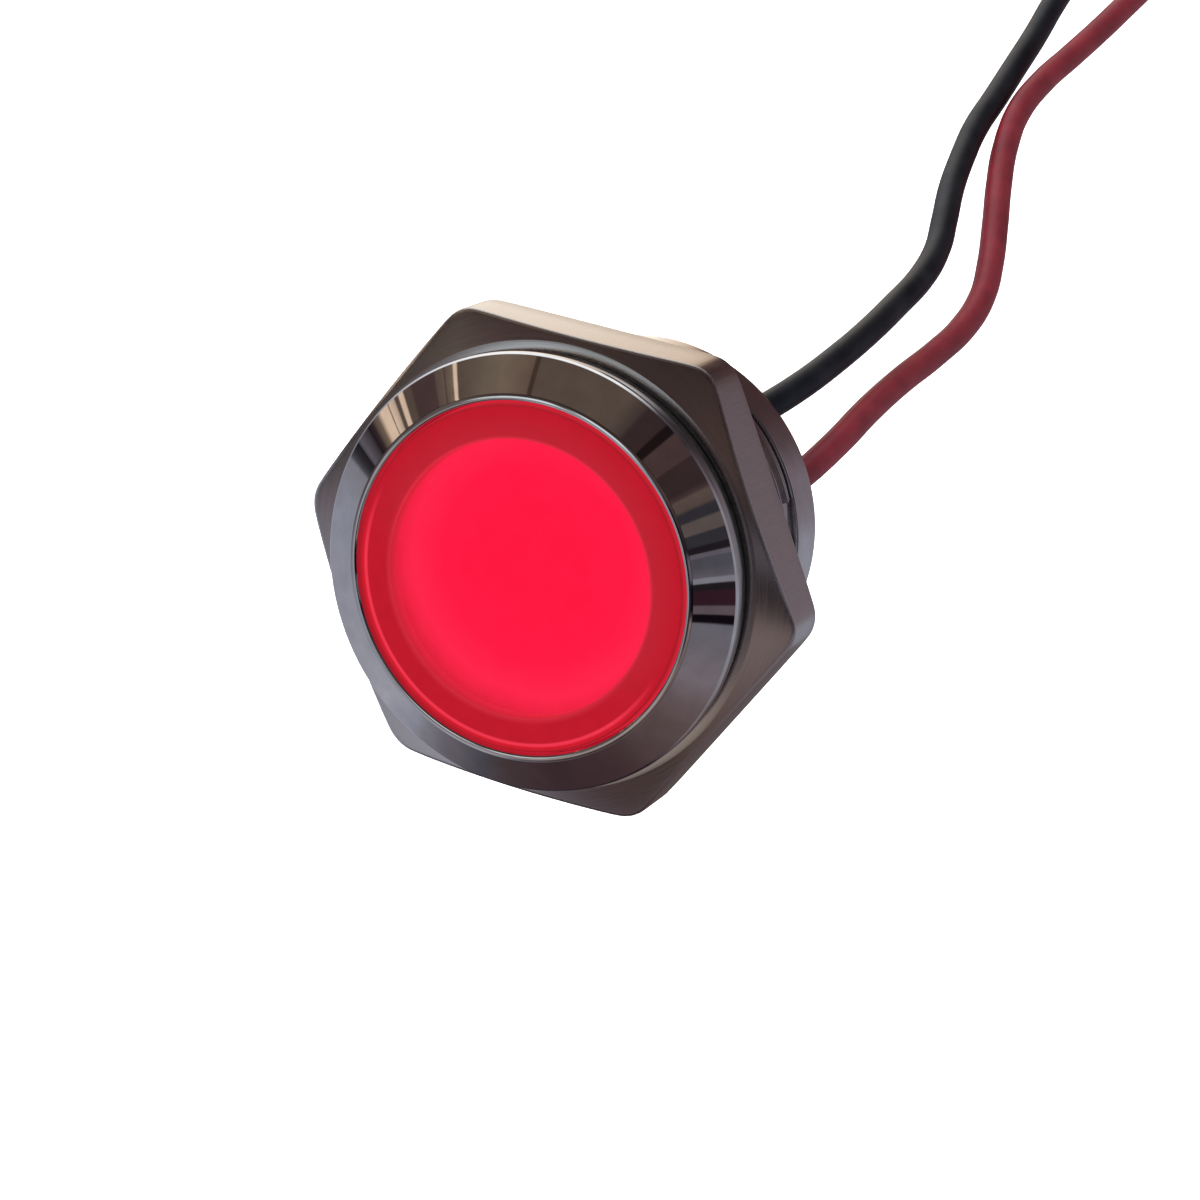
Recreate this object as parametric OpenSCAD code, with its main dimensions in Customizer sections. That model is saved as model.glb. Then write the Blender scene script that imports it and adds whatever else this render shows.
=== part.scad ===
// Illuminated metal push button for a 22 mm panel hole, with a hex nut, a seal and two free leads.
// Units are millimetres. The axis is Z and the panel's front face lies at z = 0, so the head stands
// above it, and the barrel and the leads hang below it.

/* [Head] */
// Outer diameter of the bezel
head_d = 25; // [24.8:0.1:26]
// Height of the bezel above the panel
head_h = 2.2; // [2.2:0.1:2.6]
// Height of the polished cone round the cap
cone_h = 1.35; // [1:0.05:1.5]
// Width of the flat lip between the cap's bore and the cone
lip_w = 0.33; // [0.2:0.01:0.6]
// Diameter of the lens cap
cap_d = 19.88; // [19.6:0.02:19.88]
// Thickness of the rubber seal under the head
seal_t = 0.9; // [0.6:0.1:0.9]

/* [Barrel] */
// Outer diameter of the barrel's thread
barrel_d = 22; // [22:0.1:22.2]
// Pitch of the thread
thread_pitch = 1; // [0.75:0.25:1]
// Distance from the head to the end of the thread
thread_l = 12.5; // [12:0.1:12.5]
// Distance from the head to the end of the barrel
barrel_l = 16.2; // [15.8:0.1:16.5]
// Diameter of the plain collar at the barrel's end
collar_d = 21.66; // [21.4:0.02:21.66]
// Width of the keyway along the thread
keyway_w = 3; // [2:0.1:4]
// Direction of the keyway about the axis, in degrees
keyway_a = -135; // [-180:5:180]

/* [Nut] */
// Size across the nut's flats
nut_af = 26.7; // [26.4:0.1:28]
// Thickness of the nut
nut_t = 4; // [3:0.1:5]
// Diameter of the flat ring on the nut's front face
nut_face_d = 25.8; // [25:0.1:26.2]
// Diameter of the turning that rounds the nut's corners
nut_corner_d = 30.2; // [29.8:0.1:30.8]
// Slope of the nut's front chamfer, in degrees
nut_chamfer_a = 20; // [15:1:30]

/* [Button] */
// Travel of the cap from rest to its stop
travel = 1.5; // [1:0.1:1.5]
// Diameter of the lit disc inside the cap
lit_d = 15.8; // [15.4:0.1:15.8]
// Wire diameter of the return spring
spring_wire_d = 0.6; // [0.4:0.1:0.6]
// Number of turns of the return spring
spring_turns = 4.5; // [3:0.5:4.5]

/* [Leads] */
// Diameter of each lead over its insulation
lead_d = 1.8; // [1.4:0.1:1.8]
// Diameter of the tinned conductor
tip_d = 0.8; // [0.6:0.1:1]
// Length of the stripped and tinned ends
tip_l = 6; // [4:0.5:8]

/* [Hidden] */
$fn = 96;
running_gap = 0.05;
touch_gap = 0.02;

head_r = head_d / 2;
cap_r = cap_d / 2;
cap_bore_r = cap_r + running_gap + touch_gap;
lip_r = cap_bore_r + lip_w;
barrel_r = barrel_d / 2;
collar_r = collar_d / 2;
collar_edge = 0.8;
groove_w = 0.4;
groove_r = barrel_r - 0.61 * thread_pitch - 0.1;
pitch_r = barrel_r - 0.325 * thread_pitch;
keyway_depth = 0.6;
lit_r = lit_d / 2;
nut_front = -seal_t - touch_gap;
nut_back = nut_front - nut_t;

// Heights of the cap, its counterbore and the guide below it
cap_t = 0.9;
cap_bottom = head_h - cap_t;
cap_bevel = 0.15;
cap_floor = cap_bottom - 1.6;
shoulder_z = -3;

// Radii that nest inside each other behind the cap
sleeve_r = 9.05;
guide_r = sleeve_r + running_gap;
chamber_r = 9.8;

// Seal ring and clip on the sleeve
ring_wire_r = 0.4;
ring_z = -0.9;
ring_mid_r = guide_r - touch_gap - ring_wire_r;
clip_top = shoulder_z - touch_gap;
clip_t = 0.5;
clip_in_r = 8.5;
clip_out_r = 9.6;

// Sleeve's spring flange and its foot, which carries the moving contact
flange_top = -4.8;
flange_t = 0.8;
flange_r = 6.3;
foot_z = -6.8;
contact_t = 0.3;
contact_in_r = 8;
contact_out_r = 9.3;

// Insulating carrier, with a post for the lamp board and a ring for the fixed contacts
carrier_bottom = -12;
carrier_floor = -10.9;
carrier_ring_top = -9.4;
carrier_ring_r = 7.8;
carrier_r = chamber_r - running_gap;
post_r = 5.5;
post_top = -5.2;

// Lamp board and what is soldered to it
board_r = 5.8;
board_t = 0.8;
board_top = post_top + board_t;
led_size = [2, 1.2, 0.8];
led_r = 2.8;
led_count = 3;
resistor_size = [1.6, 0.8, 0.5];
diode_size = [1.6, 1, 0.7];
chip_r = 3.2;
pin_r = 0.3;
pin_ring_r = 4.2;
pin_stand = 0.2;
reflector_h = 1.7;
reflector_t = 0.55;
reflector_foot_r = 4.9;
reflector_mouth_r = 6.8;

// Fixed contacts: a pad on the ring, a leg through it and a lug under the carrier
pad_r = 8.6;
pad_size = [1.6, 2.4, 0.3];
leg_size = [0.4, 1.6];
lug_t = 0.4;
lug_w = 1.4;
rivet_r = 0.7;
left_contact_a = -167;
right_contact_a = -47;
closed_z = foot_z - contact_t - travel - touch_gap;

// Potting that closes the barrel
plug_top = -13.3;
plug_bottom = -15.5;
solder_h = 0.8;
solder_r = 1.15;

lead_r = lead_d / 2;
lead_sides = 8;
lead_top = carrier_bottom - lug_t;

// The leads' routes: straight out of the potting, then hanging with the bends of handling
black_route = [
    [0.4, -5.6, lead_top], [0.4, -5.6, -16], [0.2, -6.1, -19.5], [-0.2, -7.3, -22.8],
    [-0.5, -8.8, -26], [-0.5, -10.1, -29.6], [-0.3, -11.3, -33.6], [0.1, -12.5, -37.8],
    [0.6, -13.8, -41.8], [1.5, -14.8, -45.1], [2.9, -15.6, -48.3], [4.5, -16.5, -51.7],
    [5.9, -17.6, -55.2], [7.1, -18.8, -58.6], [8, -20.2, -62.2], [9, -21.8, -66],
    [10, -23.4, -69.8], [11.2, -25.2, -73.8], [12.2, -26.8, -78], [12.9, -28, -82.4],
    [13.3, -28.9, -86.8], [13.4, -29.4, -91.2], [13.2, -29.6, -95.6], [12.8, -29.6, -100],
    [12.3, -29.4, -104.4], [11.9, -29.1, -108.8], [11.6, -28.8, -113.2], [11.5, -28.5, -117.6],
    [11.6, -28.3, -122], [11.8, -28.1, -126.4], [12, -28, -130.8], [12.2, -28, -135.2],
    [12.3, -28, -139.6], [12.3, -28, -144], [12.3, -28, -150]
];
red_route = [
    [-4.3, -4, lead_top], [-4.3, -4, -16], [-4.5, -4.4, -19.5], [-4.6, -5.8, -22.8],
    [-4.5, -7.6, -26], [-4.1, -9.2, -30], [-3.9, -10.6, -34], [-3.9, -12, -37.8],
    [-3.7, -13.4, -41.3], [-2.9, -14.7, -44.6], [-1.4, -15.8, -47.8], [0.5, -16.9, -51.1],
    [2.6, -18, -54.7], [4.5, -19.2, -58.2], [6, -20.8, -61.6], [6.7, -22.6, -65.2],
    [6.9, -24.4, -68.7], [7.1, -26.4, -72.3], [7.4, -28.4, -76], [7.8, -30, -80.2],
    [8.2, -31.2, -84.5], [8.5, -32, -88.9], [8.7, -32.4, -93.3], [8.8, -32.5, -97.7],
    [8.7, -32.4, -102.1], [8.5, -32.1, -106.5], [8.2, -31.7, -110.9], [7.9, -31.3, -115.3],
    [7.7, -31, -119.7], [7.6, -30.8, -124.1], [7.6, -30.7, -128.5], [7.7, -30.7, -132.9],
    [7.8, -30.7, -137.3], [7.8, -30.7, -141.7], [7.8, -30.7, -148]
];
exits = [black_route[0], red_route[0]];

// Unit vector along v
function unit(v) = v / norm(v);

// Direction of a path at its point i
function along(path, i) =
    unit(path[min(i + 1, len(path) - 1)] - path[max(i - 1, 0)]);

// Ring of points about p, square to direction t; out is any direction that t never takes
function ring_points(p, t, r, sides, out) =
    let (u = unit(cross(t, out)), v = cross(t, u))
    [for (k = [0 : sides - 1]) p + r * (cos(360 * k / sides) * u + sin(360 * k / sides) * v)];

// Closed round tube along a path
module swept_tube(path, r, sides, out) {
    last = len(path) - 1;
    points = [for (i = [0 : last]) each ring_points(path[i], along(path, i), r, sides, out)];
    walls = [
        for (i = [0 : last - 1], k = [0 : sides - 1])
        let (n = (k + 1) % sides)
        [i * sides + k, (i + 1) * sides + k, (i + 1) * sides + n, i * sides + n]
    ];
    start_cap = [for (k = [0 : sides - 1]) k];
    end_cap = [for (k = [sides - 1 : -1 : 0]) last * sides + k];
    polyhedron(points, concat([start_cap], walls, [end_cap]));
}

// Ring between two heights
module ring(r_out, r_in, z_low, z_high) {
    rotate_extrude() translate([r_in, z_low]) square([r_out - r_in, z_high - z_low]);
}

// Round bar between two heights
module bar(r, z_low, z_high) {
    translate([0, 0, z_low]) cylinder(r = r, h = z_high - z_low);
}

// Point at radius r and angle a
function polar(r, a) = [r * cos(a), r * sin(a)];

// Flat strip from point a to point b, between two heights
module strip(a, b, w, z_low, z_high) {
    d = b - a;
    translate([a.x, a.y, z_low])
        rotate([0, 0, atan2(d.y, d.x)])
            translate([-w / 2, -w / 2, 0])
                cube([norm(d) + w, w, z_high - z_low]);
}

// Block on the lamp board at radius r and angle a
module chip(size, r, a) {
    rotate([0, 0, a]) translate([r, 0, board_top]) rotate([0, 0, 90])
        translate([-size.x / 2, -size.y / 2, 0]) cube(size);
}

// Turned bezel and barrel in one piece, with the keyway cut along the thread. The thread is plain
// at its outer radius where it is free, and at its pitch radius where it carries the nut.
module bezel_barrel() {
    keyway_top = -seal_t / 2;
    keyway_bottom = -thread_l - groove_w / 2;
    nut_end = nut_back - touch_gap;
    color([0.62, 0.6, 0.6]) difference() {
        rotate_extrude() polygon([
            [cap_bore_r, head_h], [lip_r, head_h], [head_r, head_h - cone_h], [head_r, 0],
            [barrel_r, 0], [barrel_r, -seal_t], [pitch_r, -seal_t], [pitch_r, nut_end],
            [barrel_r, nut_end], [barrel_r, -thread_l], [groove_r, -thread_l],
            [groove_r, -thread_l - groove_w], [collar_r, -thread_l - groove_w],
            for (a = [0 : 22.5 : 90])
                [collar_r - collar_edge * (1 - cos(a)),
                 -barrel_l + collar_edge * (1 - sin(a))],
            [chamber_r, -barrel_l], [chamber_r, shoulder_z], [guide_r, shoulder_z],
            [guide_r, cap_floor], [cap_bore_r, cap_floor]
        ]);
        rotate([0, 0, keyway_a])
            translate([barrel_r - keyway_depth, -keyway_w / 2, keyway_bottom])
                cube([2 * keyway_depth, keyway_w, keyway_top - keyway_bottom]);
    }
}

// Flat rubber ring under the head
module panel_seal() {
    color([0.06, 0.06, 0.06]) ring(head_r - 0.2, barrel_r + touch_gap, -seal_t, 0);
}

// Hex nut, chamfered towards the head, with its thread plain at the pitch radius
module hex_nut() {
    corner_r = nut_corner_d / 2;
    face_r = nut_face_d / 2;
    color([0.55, 0.5, 0.47]) difference() {
        intersection() {
            translate([0, 0, nut_back]) rotate([0, 0, 30])
                cylinder(r = nut_af / 2 / cos(30), h = nut_t, $fn = 6);
            rotate_extrude() polygon([
                [0, nut_back], [corner_r, nut_back],
                [corner_r, nut_front - (corner_r - face_r) * tan(nut_chamfer_a)],
                [face_r, nut_front], [0, nut_front]
            ]);
        }
        bar(pitch_r + running_gap, nut_back - 1, nut_front + 1);
    }
}

// Frosted lens cap with a spigot that centres it in the sleeve
module lens_cap() {
    spigot_r = lit_r - touch_gap;
    spigot_l = 1.5;
    color([0.95, 0.1, 0.25]) rotate_extrude() polygon([
        [0, cap_bottom], [spigot_r - 0.6, cap_bottom], [spigot_r - 0.6, cap_bottom - spigot_l],
        [spigot_r, cap_bottom - spigot_l], [spigot_r, cap_bottom], [cap_r, cap_bottom],
        [cap_r, head_h - cap_bevel], [cap_r - cap_bevel, head_h], [0, head_h]
    ]);
}

// Thin light-spreading disc under the cap
module diffuser() {
    color([1, 0.8, 0.8]) bar(lit_r - touch_gap, cap_bottom - 2.1, cap_bottom - 1.5);
}

// Sliding sleeve under the cap, with grooves for its seal and clip and a flange for the spring
module plunger_sleeve() {
    groove_half = ring_wire_r + touch_gap;
    seal_groove_r = ring_mid_r - groove_half;
    clip_bottom = clip_top - clip_t;
    color([0.2, 0.2, 0.2]) rotate_extrude() polygon([
        [lit_r, cap_bottom], [sleeve_r, cap_bottom],
        [sleeve_r, ring_z + groove_half], [seal_groove_r, ring_z + groove_half],
        [seal_groove_r, ring_z - groove_half], [sleeve_r, ring_z - groove_half],
        [sleeve_r, clip_top], [clip_in_r, clip_top],
        [clip_in_r, clip_bottom], [sleeve_r, clip_bottom],
        [sleeve_r, foot_z], [lit_r, foot_z],
        [lit_r, flange_top - flange_t], [flange_r, flange_top - flange_t],
        [flange_r, flange_top], [lit_r, flange_top]
    ]);
}

// Rubber ring that seals the sleeve in the barrel
module plunger_seal() {
    color([0.1, 0.1, 0.1]) rotate_extrude() translate([ring_mid_r, ring_z])
        circle(r = ring_wire_r, $fn = 32);
}

// Open spring clip that stops the sleeve under the barrel's shoulder
module retaining_clip() {
    color([0.7, 0.7, 0.72]) difference() {
        ring(clip_out_r, clip_in_r + touch_gap, clip_top - clip_t, clip_top);
        translate([0, -1.5, clip_top - clip_t - 1]) cube([clip_out_r + 1, 3, clip_t + 2]);
    }
}

// Coil spring between the carrier's floor and the sleeve's flange
module return_spring() {
    wire_r = spring_wire_d / 2;
    mid_r = (flange_r + lit_r) / 2;
    low = carrier_floor + wire_r + touch_gap;
    high = flange_top - flange_t - wire_r - touch_gap;
    steps = round(spring_turns * 20);
    path = [
        for (i = [0 : steps])
        let (a = 360 * spring_turns * i / steps)
        [mid_r * cos(a), mid_r * sin(a), low + (high - low) * i / steps]
    ];
    color([0.75, 0.75, 0.78]) swept_tube(path, wire_r, 8, [0, 0, 1]);
}

// Moving contact on the sleeve's foot
module contact_ring() {
    color([0.8, 0.55, 0.3]) ring(contact_out_r, contact_in_r, foot_z - contact_t, foot_z);
}

// Moulded base inside the barrel
module contact_carrier() {
    color([0.15, 0.15, 0.17]) difference() {
        union() {
            bar(carrier_r, carrier_bottom, carrier_floor);
            ring(carrier_r, carrier_ring_r, carrier_floor, carrier_ring_top);
            bar(post_r, carrier_floor, post_top);
        }
        for (a = [left_contact_a, right_contact_a])
            rotate([0, 0, a])
                translate([pad_r - leg_size.x / 2, -leg_size.y / 2, carrier_bottom - 1])
                    cube([leg_size.x, leg_size.y, carrier_ring_top - carrier_bottom + 2]);
        pin_bores(carrier_bottom - 1, post_top + 1);
    }
}

// Holes for the board's pins
module pin_bores(z_low, z_high) {
    for (e = exits)
        rotate([0, 0, atan2(e.y, e.x)]) translate([pin_ring_r, 0, 0]) bar(pin_r, z_low, z_high);
}

// Stamped contact: pad, leg and lug, the lug running under the carrier to the lead and the pin
module fixed_contact(a, exit) {
    leg = polar(pad_r, a);
    pin = polar(pin_ring_r, atan2(exit.y, exit.x));
    rotate([0, 0, a]) {
        translate([pad_r - pad_size.x / 2, -pad_size.y / 2, carrier_ring_top]) cube(pad_size);
        translate([pad_r - leg_size.x / 2, -leg_size.y / 2, carrier_bottom - lug_t])
            cube([leg_size.x, leg_size.y, carrier_ring_top - carrier_bottom + lug_t]);
    }
    strip(leg, [exit.x, exit.y], lug_w, carrier_bottom - lug_t, carrier_bottom);
    strip([exit.x, exit.y], pin, lug_w / 2, carrier_bottom - lug_t, carrier_bottom);
}

module fixed_contact_left() {
    color([0.8, 0.55, 0.3]) fixed_contact(left_contact_a, exits[1]);
}

module fixed_contact_right() {
    color([0.8, 0.55, 0.3]) fixed_contact(right_contact_a, exits[0]);
}

// Silver contact faces on the two pads
module contact_rivets() {
    color([0.85, 0.85, 0.86]) for (a = [left_contact_a, right_contact_a])
        rotate([0, 0, a]) translate([pad_r, 0, 0])
            bar(rivet_r, carrier_ring_top + pad_size.z, closed_z);
}

// Round lamp board on the carrier's post
module led_board() {
    color([0.1, 0.35, 0.2]) difference() {
        bar(board_r, post_top, board_top);
        pin_bores(post_top - 1, board_top + 1);
    }
}

module leds() {
    color([1, 0.3, 0.3]) for (k = [0 : led_count - 1])
        chip(led_size, led_r, 90 + 360 * k / led_count);
}

module resistor() {
    color([0.1, 0.1, 0.1]) chip(resistor_size, chip_r, 150);
}

module diode() {
    color([0.25, 0.2, 0.2]) chip(diode_size, chip_r, 30);
}

// White cup that throws the light forward
module reflector() {
    color([0.95, 0.95, 0.95]) rotate_extrude() polygon([
        [reflector_foot_r, board_top], [reflector_foot_r + reflector_t, board_top],
        [reflector_mouth_r + reflector_t, board_top + reflector_h],
        [reflector_mouth_r, board_top + reflector_h]
    ]);
}

// Two pins from the lamp board down to the lugs
module board_pins() {
    color([0.8, 0.75, 0.6]) pin_bores(carrier_bottom, board_top + pin_stand);
}

// Solder round the tops of the leads
module solder_joints() {
    color([0.75, 0.75, 0.76]) for (e = exits)
        translate([e.x, e.y, lead_top - solder_h]) difference() {
            cylinder(r1 = lead_r + 0.1, r2 = solder_r, h = solder_h);
            translate([0, 0, -1]) cylinder(r = lead_r, h = solder_h + 2);
        }
}

// Potting that fills the barrel's end round the leads
module rear_plug() {
    color([0.12, 0.12, 0.12]) difference() {
        bar(chamber_r - touch_gap, plug_bottom, plug_top);
        for (e = exits) translate([e.x, e.y, 0]) bar(lead_r, plug_bottom - 1, plug_top + 1);
    }
}

module black_lead() {
    color([0.08, 0.08, 0.09]) swept_tube(black_route, lead_r, lead_sides, [1, 0, 0]);
}

module red_lead() {
    color([0.6, 0.12, 0.14]) swept_tube(red_route, lead_r, lead_sides, [1, 0, 0]);
}

// Stripped and tinned end below the last point of a route
module lead_tip(route) {
    end = route[len(route) - 1];
    translate([end.x, end.y, 0]) bar(tip_d / 2, end.z - tip_l, end.z);
}

module black_lead_tip() {
    color([0.75, 0.75, 0.76]) lead_tip(black_route);
}

module red_lead_tip() {
    color([0.75, 0.75, 0.76]) lead_tip(red_route);
}

bezel_barrel();
panel_seal();
hex_nut();
lens_cap();
diffuser();
plunger_sleeve();
plunger_seal();
retaining_clip();
return_spring();
contact_ring();
contact_carrier();
fixed_contact_left();
fixed_contact_right();
contact_rivets();
led_board();
leds();
resistor();
diode();
reflector();
board_pins();
solder_joints();
rear_plug();
black_lead();
red_lead();
black_lead_tip();
red_lead_tip();
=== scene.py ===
"""Looks of the illuminated push button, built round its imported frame. Metres, +Z out of the cap."""
import math

import bmesh
import bpy
from mathutils import Matrix, Vector


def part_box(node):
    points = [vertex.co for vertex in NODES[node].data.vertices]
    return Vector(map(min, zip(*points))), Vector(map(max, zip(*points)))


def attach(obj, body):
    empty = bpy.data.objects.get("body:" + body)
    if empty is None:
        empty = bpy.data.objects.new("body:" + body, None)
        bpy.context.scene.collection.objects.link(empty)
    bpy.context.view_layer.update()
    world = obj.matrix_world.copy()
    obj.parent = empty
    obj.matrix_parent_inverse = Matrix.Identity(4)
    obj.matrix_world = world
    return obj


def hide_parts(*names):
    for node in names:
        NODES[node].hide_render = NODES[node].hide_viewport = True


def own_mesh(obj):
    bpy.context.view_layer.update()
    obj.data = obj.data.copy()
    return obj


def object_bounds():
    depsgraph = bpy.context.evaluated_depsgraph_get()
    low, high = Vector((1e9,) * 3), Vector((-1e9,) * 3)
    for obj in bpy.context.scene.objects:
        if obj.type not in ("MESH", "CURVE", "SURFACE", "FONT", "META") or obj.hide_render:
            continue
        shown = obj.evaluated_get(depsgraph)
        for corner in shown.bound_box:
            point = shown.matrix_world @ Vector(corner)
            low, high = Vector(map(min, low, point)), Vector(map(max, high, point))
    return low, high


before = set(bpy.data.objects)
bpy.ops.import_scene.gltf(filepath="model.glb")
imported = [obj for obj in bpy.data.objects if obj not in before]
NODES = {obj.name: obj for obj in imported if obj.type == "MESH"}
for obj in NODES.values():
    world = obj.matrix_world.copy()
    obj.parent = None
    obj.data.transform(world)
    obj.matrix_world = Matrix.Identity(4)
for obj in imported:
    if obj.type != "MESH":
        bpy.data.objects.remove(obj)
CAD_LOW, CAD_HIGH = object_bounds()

MM = 0.001


# ---------------------------------------------------------------- camera and cords

CAMERA_AZIMUTH = math.radians(-17.7)
CAMERA_ELEVATION = math.radians(62.15)
CAMERA_ROLL = math.radians(-119.6)
CAMERA_TURN = (
    Matrix.Rotation(CAMERA_AZIMUTH, 4, "Z")
    @ Matrix.Rotation(math.pi / 2 - CAMERA_ELEVATION, 4, "X")
    @ Matrix.Rotation(CAMERA_ROLL, 4, "Z")
)
TO_CAMERA = CAMERA_TURN @ Vector((0, 0, 1))
CAMERA_TARGET = Vector((-3.84, -1.59, 0)) * MM
CAMERA_DISTANCE = 176.6 * MM
CAMERA_LENS = 96

LEAD_D = 1.8 * MM
LEAD_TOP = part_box("black_lead")[1].z / MM
BLACK_ROUTE = [
    (0.4, -5.6, LEAD_TOP), (0.4, -5.6, -16), (0.2, -6.1, -19.5), (-0.2, -7.3, -22.8),
    (-0.5, -8.8, -26), (-0.5, -10.1, -29.6), (-0.3, -11.3, -33.6), (0.1, -12.5, -37.8),
    (0.6, -13.8, -41.8), (1.5, -14.8, -45.1), (2.9, -15.6, -48.3), (4.5, -16.5, -51.7),
    (5.9, -17.6, -55.2), (7.1, -18.8, -58.6), (8, -20.2, -62.2), (9, -21.8, -66),
    (10, -23.4, -69.8), (11.2, -25.2, -73.8), (12.2, -26.8, -78), (12.9, -28, -82.4),
    (13.3, -28.9, -86.8), (13.4, -29.4, -91.2), (13.2, -29.6, -95.6), (12.8, -29.6, -100),
    (12.3, -29.4, -104.4), (11.9, -29.1, -108.8), (11.6, -28.8, -113.2), (11.5, -28.5, -117.6),
    (11.6, -28.3, -122), (11.8, -28.1, -126.4), (12, -28, -130.8), (12.2, -28, -135.2),
    (12.3, -28, -139.6), (12.3, -28, -144), (12.3, -28, -150),
]
RED_ROUTE = [
    (-4.3, -4, LEAD_TOP), (-4.3, -4, -16), (-4.5, -4.4, -19.5), (-4.6, -5.8, -22.8),
    (-4.5, -7.6, -26), (-4.1, -9.2, -30), (-3.9, -10.6, -34), (-3.9, -12, -37.8),
    (-3.7, -13.4, -41.3), (-2.9, -14.7, -44.6), (-1.4, -15.8, -47.8), (0.5, -16.9, -51.1),
    (2.6, -18, -54.7), (4.5, -19.2, -58.2), (6, -20.8, -61.6), (6.7, -22.6, -65.2),
    (6.9, -24.4, -68.7), (7.1, -26.4, -72.3), (7.4, -28.4, -76), (7.8, -30, -80.2),
    (8.2, -31.2, -84.5), (8.5, -32, -88.9), (8.7, -32.4, -93.3), (8.8, -32.5, -97.7),
    (8.7, -32.4, -102.1), (8.5, -32.1, -106.5), (8.2, -31.7, -110.9), (7.9, -31.3, -115.3),
    (7.7, -31, -119.7), (7.6, -30.8, -124.1), (7.6, -30.7, -128.5), (7.7, -30.7, -132.9),
    (7.8, -30.7, -137.3), (7.8, -30.7, -141.7), (7.8, -30.7, -148),
]


def make_camera():
    """The camera looks down on the cap at a slant, rolled so that the leads run to the upper right."""
    data = bpy.data.cameras.new("camera")
    data.lens = CAMERA_LENS
    data.sensor_width = 36
    data.clip_start = 0.005
    camera = bpy.data.objects.new("camera", data)
    bpy.context.scene.collection.objects.link(camera)
    camera.matrix_world = Matrix.Translation(CAMERA_TARGET + TO_CAMERA * CAMERA_DISTANCE) @ CAMERA_TURN
    bpy.context.scene.camera = camera


def lead_curve(name, route):
    """A round lead on a smooth spline through the route's points, closed at both ends."""
    data = bpy.data.curves.new(name, "CURVE")
    data.dimensions = "3D"
    data.bevel_depth = LEAD_D / 2
    data.bevel_resolution = 6
    data.resolution_u = 8
    data.use_fill_caps = True
    spline = data.splines.new("BEZIER")
    spline.bezier_points.add(len(route) - 1)
    for point, place in zip(spline.bezier_points, route):
        point.co = Vector(place) * MM
        point.handle_left_type = "AUTO"
        point.handle_right_type = "AUTO"
    lead = bpy.data.objects.new(name, data)
    bpy.context.scene.collection.objects.link(lead)
    return lead


# ---------------------------------------------------------------- materials

def linear(r, g, b):
    """Linear colour of an sRGB one given from 0 to 255."""
    def channel(c):
        c = c / 255
        return c / 12.92 if c <= 0.04045 else ((c + 0.055) / 1.055) ** 2.4
    return (channel(r), channel(g), channel(b), 1)


class Tree:
    """A node tree, with short calls for the nodes that it takes most of."""

    def __init__(self, tree):
        self.nodes = tree.nodes
        self.links = tree.links

    def link(self, output, node, socket):
        self.links.new(output, node.inputs[socket])

    def give(self, value, node, socket):
        """Sets a socket to a number, or links it to another node's output."""
        if isinstance(value, bpy.types.NodeSocket):
            self.link(value, node, socket)
        else:
            node.inputs[socket].default_value = value

    def math(self, operation, *values):
        node = self.nodes.new("ShaderNodeMath")
        node.operation = operation
        for socket, value in enumerate(values):
            self.give(value, node, socket)
        return node.outputs[0]

    def vector_math(self, operation, *values):
        node = self.nodes.new("ShaderNodeVectorMath")
        node.operation = operation
        for socket, value in enumerate(values):
            self.give(value, node, socket)
        return node.outputs["Value" if operation == "LENGTH" else "Vector"]

    def split(self, vector):
        node = self.nodes.new("ShaderNodeSeparateXYZ")
        self.link(vector, node, "Vector")
        return node.outputs

    def part_way(self, value, low, high):
        """How far a value has gone from low to high, held between 0 and 1."""
        node = self.nodes.new("ShaderNodeMapRange")
        node.inputs["From Min"].default_value = low
        node.inputs["From Max"].default_value = high
        self.link(value, node, "Value")
        return node.outputs["Result"]

    def ramp(self, factor, stops):
        """Colours, or grey levels, at places from 0 to 1."""
        node = self.nodes.new("ShaderNodeValToRGB")
        elements = node.color_ramp.elements
        while len(elements) < len(stops):
            elements.new(0.5)
        for element, (place, colour) in zip(elements, stops):
            element.position = place
            element.color = colour if isinstance(colour, tuple) else (colour, colour, colour, 1)
        self.link(factor, node, "Fac")
        return node.outputs["Color"]

    def mix(self, factor, first, second):
        node = self.nodes.new("ShaderNodeMix")
        node.data_type = "RGBA"
        self.link(factor, node, "Factor")
        self.link(first, node, "A")
        self.link(second, node, "B")
        return node.outputs["Result"]


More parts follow.
